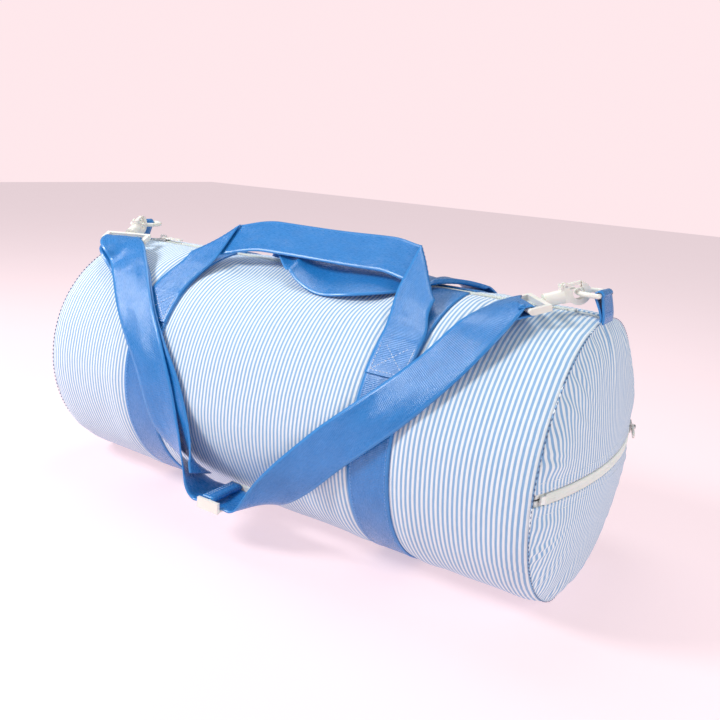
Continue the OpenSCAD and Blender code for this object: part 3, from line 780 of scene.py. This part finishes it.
def eye_row(yaw, side, ahead, up, out_ahead, out_up):
    """A row of the strap given in a hook's frame, measured from its eye."""
    base = hook_place(yaw)
    place = at_hook(yaw, side, ahead - hook_len, up) + Vector((side * base.x, base.y, base.z))
    return place, at_hook(yaw, side, out_ahead, out_up)


def eye_wrap(yaw, side):
    """Rows of the strap round the bar of a hook's eye."""
    rows = [eye_row(yaw, side, -d * MM, -wrap_r, 0, -1) for d in (14, 7)]
    for a in range(-90, 91, 30):
        c, s = cos(radians(a)), sin(radians(a))
        rows.append(eye_row(yaw, side, wrap_r * c, wrap_r * s, c, s))
    return rows + [eye_row(yaw, side, -10 * MM, wrap_r, 0, 1)]


def on_bag(x, deg, lift):
    """A row of the strap on the bag: along it, degrees from the top, lift over the bands."""
    r, a = band_r + lift * MM, radians(deg)
    return Vector((x * MM, -r * sin(a), axis_z + r * cos(a))), Vector((0, -sin(a), cos(a)))


def hang(x, off, z, twist):
    """A row of the strap that hangs in front of the bag, at a height from the bag's axis."""
    out = Vector((x + 10, 0, z - 7)).normalized()
    t = radians(twist)
    place = Vector((x * MM, -bag_r - off * MM, axis_z + z * MM))
    return place, Vector((sin(t) * out.x, -cos(t), sin(t) * out.z))


# from the right hook down to the adjuster and up to the left hook
strap_down = [
    on_bag(192, 35, 9), on_bag(173, 51, 3), on_bag(149, 66, 3), on_bag(121, 79, 3),
    hang(96, 4, 1, 0), hang(70, 4, -25, 12), hang(46, 4, -49, 35), hang(28, 4, -67, 62),
    hang(16, 4, -75, 82), hang(8, 4, -77, 90), hang(2, 4, -77, 90), hang(-4, 4, -77, 90),
    hang(-14, 4, -77, 90), hang(-24, 4, -77, 90), hang(-30, 4, -77, 90), hang(-36, 4, -77, 90),
    hang(-45, 4, -74, 80), hang(-56, 4, -65, 62), hang(-68, 5, -51, 40), hang(-80, 6, -33, 18),
    hang(-90, 7, -15, 4), on_bag(-101, 84, 6), on_bag(-120, 71, 6), on_bag(-142, 60, 6),
    on_bag(-165, 49, 7), on_bag(-188, 38, 9), on_bag(-208, 30, 12)]
# the second run, from the left hook back down to the adjuster
strap_back = [
    on_bag(-202, 34, 6), on_bag(-180, 42, 3), on_bag(-160, 51, 3), on_bag(-138, 62, 3),
    on_bag(-114, 73, 3), on_bag(-92, 85, 3), hang(-78, 4, -17, 6), hang(-66, 4, -37, 22),
    hang(-54, 4, -52, 46), hang(-43, 5, -61, 66)]


def refine(rows, steps):
    """Catmull-Rom rows between the rows of a route."""
    fine, last = [], len(rows) - 1

    def curve(a, b, c, d, u):
        return (2 * b + (c - a) * u + (2 * a - 5 * b + 4 * c - d) * u * u
                + (3 * b - a - 3 * c + d) * u ** 3) / 2
    for i in range(last):
        four = [rows[max(i - 1, 0)], rows[i], rows[i + 1], rows[min(i + 2, last)]]
        for k in range(steps):
            fine.append(tuple(curve(*[row[part] for row in four], k / steps) for part in (0, 1)))
    return fine + [rows[last]]


def ribbon(name, rows, width, columns, tape, body=None, crown=0.5 * MM):
    """Webbing along rows of (place, outward direction)."""
    last = len(rows) - 1
    travel, sections = 0.0, []
    for i, (place, raw) in enumerate(rows):
        along = (rows[min(i + 1, last)][0] - rows[max(i - 1, 0)][0]).normalized()
        out = (raw - along * raw.dot(along)).normalized()
        if i:
            travel += (place - rows[i - 1][0]).length
        sections.append((place, out.cross(along), out, travel))

    def place(u, v):
        middle, side, out, far = sections[round(v * last)]
        share = 2 * u - 1
        bulge = crown * (1 - share * share) * smooth_step(min(far, travel - far), 0, 30 * MM)
        ripple = 1.8 * MM * noise.noise(Vector((u * 1.6, far * 17, 2.0)))
        ripple *= smooth_step(min(far, travel - far), 10 * MM, 50 * MM)
        return middle + side * (share * width / 2) + out * (bulge + ripple), (u * width, far)
    return grid_sheet(name, columns, last, place, tape, body), travel


def make_strap(tape):
    rows = (eye_wrap(hook_yaw_right, 1) + strap_down
            + eye_wrap(hook_yaw_left, -1)[::-1]
            + [(place, -out) for place, out in strap_back])
    strap, length = ribbon("strap_webbing", refine(rows, 8), web_w, 12, tape, "strap")
    thicken(strap, web_t, 0)
    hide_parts("shoulder_strap")


def make_strap_end(tape):
    """The sewn end round the adjuster's middle bar, and its stitches."""
    low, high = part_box("strap_end_loop")
    bar_r = (high.z - low.z) / 2 - web_t
    middle = Vector((adjuster_x, (low.y + high.y) / 2, (low.z + high.z) / 2))
    r = bar_r + web_t / 2
    rows = [(middle + Vector((d * MM, 0, r)), Vector((0, 0, 1))) for d in (-9, -6, -3)]
    for a in range(90, -91, -20):
        c, s = cos(radians(a)), sin(radians(a))
        rows.append((middle + Vector((r * c, 0, r * s)), Vector((c, 0, s))))
    loop, _ = ribbon("strap_end_webbing", refine(rows, 3), web_w, 10, tape, "adjuster", 0)
    thicken(loop, web_t, 0)
    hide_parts("strap_end_loop")
    seats = []
    for d in (-7.5, -5.0):
        def path(t):
            return (middle + Vector((d * MM, (t - 0.5) * 0.85 * web_w, r + web_t / 2 + 0.1 * MM)),
                    Vector((0, 0, 1)))
        seats += stitched(path)
    return seats


def make_ring_tab(side, tape):
    """Folded webbing from the seam, round the straight bar of a D-ring and back."""
    name = "left" if side < 0 else "right"
    r = ring_d / 2 + slip + web_t / 2
    foot_z = axis_z + bag_r - seam_dip - 2 * MM
    foot_x = half_len - 0.5 * MM
    rows = [(Vector((foot_x + 1.1 * MM, 0, foot_z)), Vector((1, 0, 0))),
            (Vector((foot_x + 1.0 * MM, 0, foot_z + 7 * MM)), Vector((1, 0, 0.1)))]
    for a in range(-30, 211, 24):
        c, s = cos(radians(a)), sin(radians(a))
        rows.append((Vector((ring_x + r * c, 0, ring_z + r * s)), Vector((c, 0, s))))
    rows += [(Vector((foot_x - 1.3 * MM, 0, foot_z + 7 * MM)), Vector((-1, 0, -0.1))),
             (Vector((foot_x - 0.9 * MM, 0, foot_z)), Vector((-1, 0, 0)))]
    if side < 0:
        rows = [(Vector((-p.x, p.y, p.z)), Vector((-n.x, n.y, n.z))) for p, n in rows]
    tab, _ = ribbon("ring_tab_webbing_" + name, refine(rows, 4), tab_w, 8, tape, "bag", 0)
    thicken(tab, web_t, 0)
    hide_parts("d_ring_tab_" + name)
    seats = []
    for height in (5.5, 8.0):
        def path(t):
            x = side * (foot_x + (1.0 + web_t / MM / 2 + 0.25) * MM)
            return Vector((x, (t - 0.5) * 0.84 * tab_w, foot_z + height * MM)), Vector((side, 0, 0))
        seats += stitched(path)
    return seats


# ================= zips =================
def make_main_zip(tape_cloth, coil, teeth):
    reach = half_len - 2.5 * MM
    for side, name in ((1, "rear"), (-1, "front")):
        def place(u, v):
            y = side * (coil_gap / 2 + u * tape_w)
            x = (2 * v - 1) * reach
            phi = -asin(y / bag_r)
            return bag_point(x, phi, -cloth_t - 0.1 * MM), (u * tape_w, x)
        tape = grid_sheet("main_tape_" + name, 8, 160, place, tape_cloth, "bag",
                          inside_bag)
        thicken(tape, tape_t)
        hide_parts("main_zip_tape_" + name)
        count = int(2 * main_coil_reach / coil_pitch)
        seats = []
        for i in range(count):
            x = -main_coil_reach + (i + 0.5 + 0.25 * side) * coil_pitch
            y = side * (coil_w / 2 + 0.5 * MM)
            top = sqrt((bag_r - cloth_t) ** 2 - y * y)
            spot = Vector((x, y, axis_z + top + coil_h * 0.42))
            seats.append(seat(spot, Vector((0.25, side, 0)), Vector((0, 0, 1)),
                              (tooth_len, coil_pitch * tooth_share, coil_h * 0.8)))
        row = repeated("main_coil_" + name, teeth, seats, coil, "bag")
        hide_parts("main_zip_coil_" + name)
    sewing = []
    for side in (-1, 1):
        for off in (2.2, 8.2):
            def path(t):
                phi = -side * (zip_edge + off * MM / bag_r)
                x = (2 * t - 1) * (half_len - 6 * MM)
                return bag_point(x, phi, 0.1 * MM), bag_out(phi)
            sewing += stitched(path, 3.4 * MM)
    return sewing


def zip_arc_r(z):
    """Radius about the vertical line through the ball's middle, at a height on the ball."""
    return sqrt((dome_r - cloth_t) ** 2 - (z - axis_z) ** 2)


def make_pocket_zip(tape_cloth, coil, teeth):
    zip_r = zip_arc_r(pocket_zip_z)
    zip_reach = asin((bag_r - 14 * MM) / zip_r)
    sewing = []
    for side, name in ((1, "upper"), (-1, "lower")):
        def place(u, v):
            z = pocket_zip_z + side * (coil_gap / 2 + u * (tape_w - 2 * MM))
            y = (2 * v - 1) * (half_chord(z) - 3 * MM)
            point = end_point(1, y, z, cloth_t + 0.15 * MM)
            return point, (u * tape_w, y)
        tape = grid_sheet("pocket_tape_" + name, 8, 90, place, tape_cloth, "bag",
                          inside_bag)
        thicken(tape, tape_t)
        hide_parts("pocket_zip_tape_" + name)
        pitch = coil_pitch / zip_r
        count = int(2 * zip_reach / pitch)
        z = pocket_zip_z + side * (pocket_tooth_len / 2 - 0.6 * MM)
        seats = []
        for i in range(count):
            a = -zip_reach + (i + 0.5 + 0.25 * side) * pitch
            out = Vector((cos(a), sin(a), 0))
            spot = Vector((dome_x, 0, z)) + out * (zip_r + 0.1 * MM + coil_h * 0.42)
            seats.append(seat(spot, Vector((0, 0, side)) + 0.25 * Vector((-sin(a), cos(a), 0)),
                              out, (pocket_tooth_len, coil_pitch * tooth_share, coil_h * 0.8)))
        row = repeated("pocket_coil_" + name, teeth, seats, coil, "bag")
        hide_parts("pocket_zip_coil_" + name)
        for off in (1.8, 7.5):
            def path(t):
                height = pocket_zip_z + side * (pocket_gap / 2 + off * MM)
                y = (2 * t - 1) * (half_chord(height) - 4 * MM)
                return end_point(1, y, height, -0.1 * MM), Vector((1, 0, 0))
            sewing += stitched(path, 3.4 * MM)
    return sewing


# ================= stage =================
def make_stage():
    """The floor, which is not part of the object."""
    bm = bmesh.new()
    bmesh.ops.create_grid(bm, x_segments=2, y_segments=2, size=4.0)
    mesh = bpy.data.meshes.new("floor")
    bm.to_mesh(mesh)
    bm.free()
    mesh.materials.append(pale_floor())
    floor = bpy.data.objects.new("floor", mesh)
    bpy.context.collection.objects.link(floor)


def make_lights():
    """A pale backdrop that only the camera sees, an even sky and three soft lights."""
    world = bpy.data.worlds.new("studio")
    bpy.context.scene.world = world
    world.use_nodes = True
    nodes, links = world.node_tree.nodes, world.node_tree.links
    sky, backdrop = nodes["Background"], nodes.new("ShaderNodeBackground")
    sky.inputs["Color"].default_value = (0.95, 0.97, 1.0, 1)
    sky.inputs["Strength"].default_value = 0.36
    backdrop.inputs["Color"].default_value = (1.0, 0.81, 0.84, 1)
    seen, either = nodes.new("ShaderNodeLightPath"), nodes.new("ShaderNodeMixShader")
    links.new(seen.outputs["Is Camera Ray"], either.inputs[0])
    links.new(sky.outputs[0], either.inputs[1])
    links.new(backdrop.outputs[0], either.inputs[2])
    links.new(either.outputs[0], nodes["World Output"].inputs["Surface"])
    for name, place, size, power in (("key", (-0.95, -0.95, 1.15), 0.5, 23.0),
                                     ("fill", (1.5, -0.35, 0.75), 1.0, 8.0),
                                     ("top", (-0.2, 0.35, 1.4), 0.8, 6.0)):
        light = bpy.data.lights.new(name, "AREA")
        light.shape = "DISK"
        light.size = size
        light.energy = power
        lamp = bpy.data.objects.new(name, light)
        bpy.context.collection.objects.link(lamp)
        lamp.location = place
        lamp.rotation_euler = (Vector((0, 0, 0.12)) - Vector(place)).to_track_quat(
            "-Z", "Y").to_euler()
    bpy.context.scene.view_settings.view_transform = "Standard"


# ================= the whole bag =================
def make_hardware(plastic, steel, zip_metal, coil):
    for side in ("left", "right"):
        clean_copy("d_ring_" + side, "ring_" + side, plastic, side + "_ring", 0)
        clean_copy("hook_body_" + side, "hook_" + side, plastic, side + "_hook",
                   0.8 * MM, 3)
        clean_copy("hook_eye_" + side, "eye_" + side, plastic, "strap",
                   0.7 * MM, 3)
        clean_copy("hook_gate_" + side, "gate_" + side, plastic, side + "_gate")
        clean_copy("gate_pin_" + side, "pin_" + side, steel, side + "_hook",
                   0.2 * MM)
    clean_copy("strap_adjuster", "adjuster", plastic, "adjuster", 0.6 * MM, 3)
    clean_copy("main_zip_slider", "main_slider_body", zip_metal, "main_slider",
               0.3 * MM)
    clean_copy("main_zip_pull", "main_pull_tongue", plastic, "main_pull",
               0.3 * MM)
    clean_copy("pocket_zip_slider", "pocket_slider_body", zip_metal, "pocket_slider",
               0.3 * MM)
    clean_copy("pocket_zip_pull", "pocket_pull_tongue", plastic, "pocket_pull",
               0.3 * MM)
    clean_copy("main_zip_stops", "main_end_stops", coil, "bag", 0.4 * MM)
    clean_copy("pocket_zip_stops", "pocket_end_stops", coil, "bag", 0.4 * MM)


def build():
    place_camera()
    stripes, cotton = striped_cloth(), lining_cloth()
    tape, tab_tape = webbing("webbing", web_w), webbing("tab_webbing", tab_w)
    tape_cloth = zip_tape()
    plastic = moulded("cream_plastic", (0.78, 0.76, 0.69, 1), (0.90, 0.88, 0.82, 1), 0.30)
    coil = moulded("zip_coil", (0.72, 0.78, 0.74, 1), (0.86, 0.90, 0.86, 1), 0.34)
    zip_metal = metal("zip_metal", (0.62, 0.62, 0.62, 1), (0.80, 0.80, 0.80, 1), 0.22)
    steel = metal("pin_steel", (0.45, 0.45, 0.46, 1), (0.62, 0.62, 0.63, 1), 0.28)
    blue_thread = thread("blue_thread", (0.12, 0.34, 0.74, 1), (0.30, 0.54, 0.90, 1))
    # near-black thread for the end seams is painted shade: it stands for the dotted shadow in the
    # seam's groove
    seam_thread_painted_shade = thread("seam_thread_painted_shade", (0.03, 0.08, 0.20, 1), (0.08, 0.16, 0.34, 1))
    white_thread = thread("white_thread", (0.66, 0.75, 0.86, 1), (0.86, 0.90, 0.94, 1))
    ball, bar = stitch_shape(), tooth_shape()

    make_body_cloth(stripes, cotton)
    make_end_cloth("end_cloth_left", -1, None, None, stripes, ["end_panel_left"])
    make_end_cloth("end_cloth_upper", 1, pocket_zip_z + pocket_gap / 2, None, stripes,
                   ["end_panel_upper"])
    make_end_cloth("end_cloth_lower", 1, None, pocket_zip_z - pocket_gap / 2, stripes,
                   ["end_panel_lower"])
    make_end_inside(cotton)

    web_stitches = []
    for side in (-1, 1):
        web_stitches += make_band(side, tape)
        web_stitches += make_ring_tab(side, tab_tape)
    lap_stitches = make_handle("front_handle_webbing", True, tape,
                               ["handle_front", "handle_laps_front"])
    lap_stitches += make_handle("rear_handle_webbing", False, tape,
                                ["handle_rear", "handle_laps_rear"])
    make_strap(tape)
    end_stitches = make_strap_end(tape)
    cloth_stitches = make_main_zip(tape_cloth, coil, bar)
    cloth_stitches += make_pocket_zip(tape_cloth, coil, bar)
    # the end seams' stitches carry painted shade, dark where the groove is shaded
    repeated("seam_stitches_painted_shade", ball, seam_sewing(), seam_thread_painted_shade, "bag")
    repeated("band_stitches", ball, web_stitches, blue_thread, "bag")
    repeated("lap_stitches", ball, lap_stitches, white_thread, "bag")
    repeated("zip_stitches", ball, cloth_stitches, white_thread, "bag")
    repeated("strap_end_stitches", ball, end_stitches, white_thread, "adjuster")
    make_hardware(plastic, steel, zip_metal, coil)
    for template in (ball, bar):
        bpy.data.meshes.remove(template)
    make_stage()
    make_lights()


build()
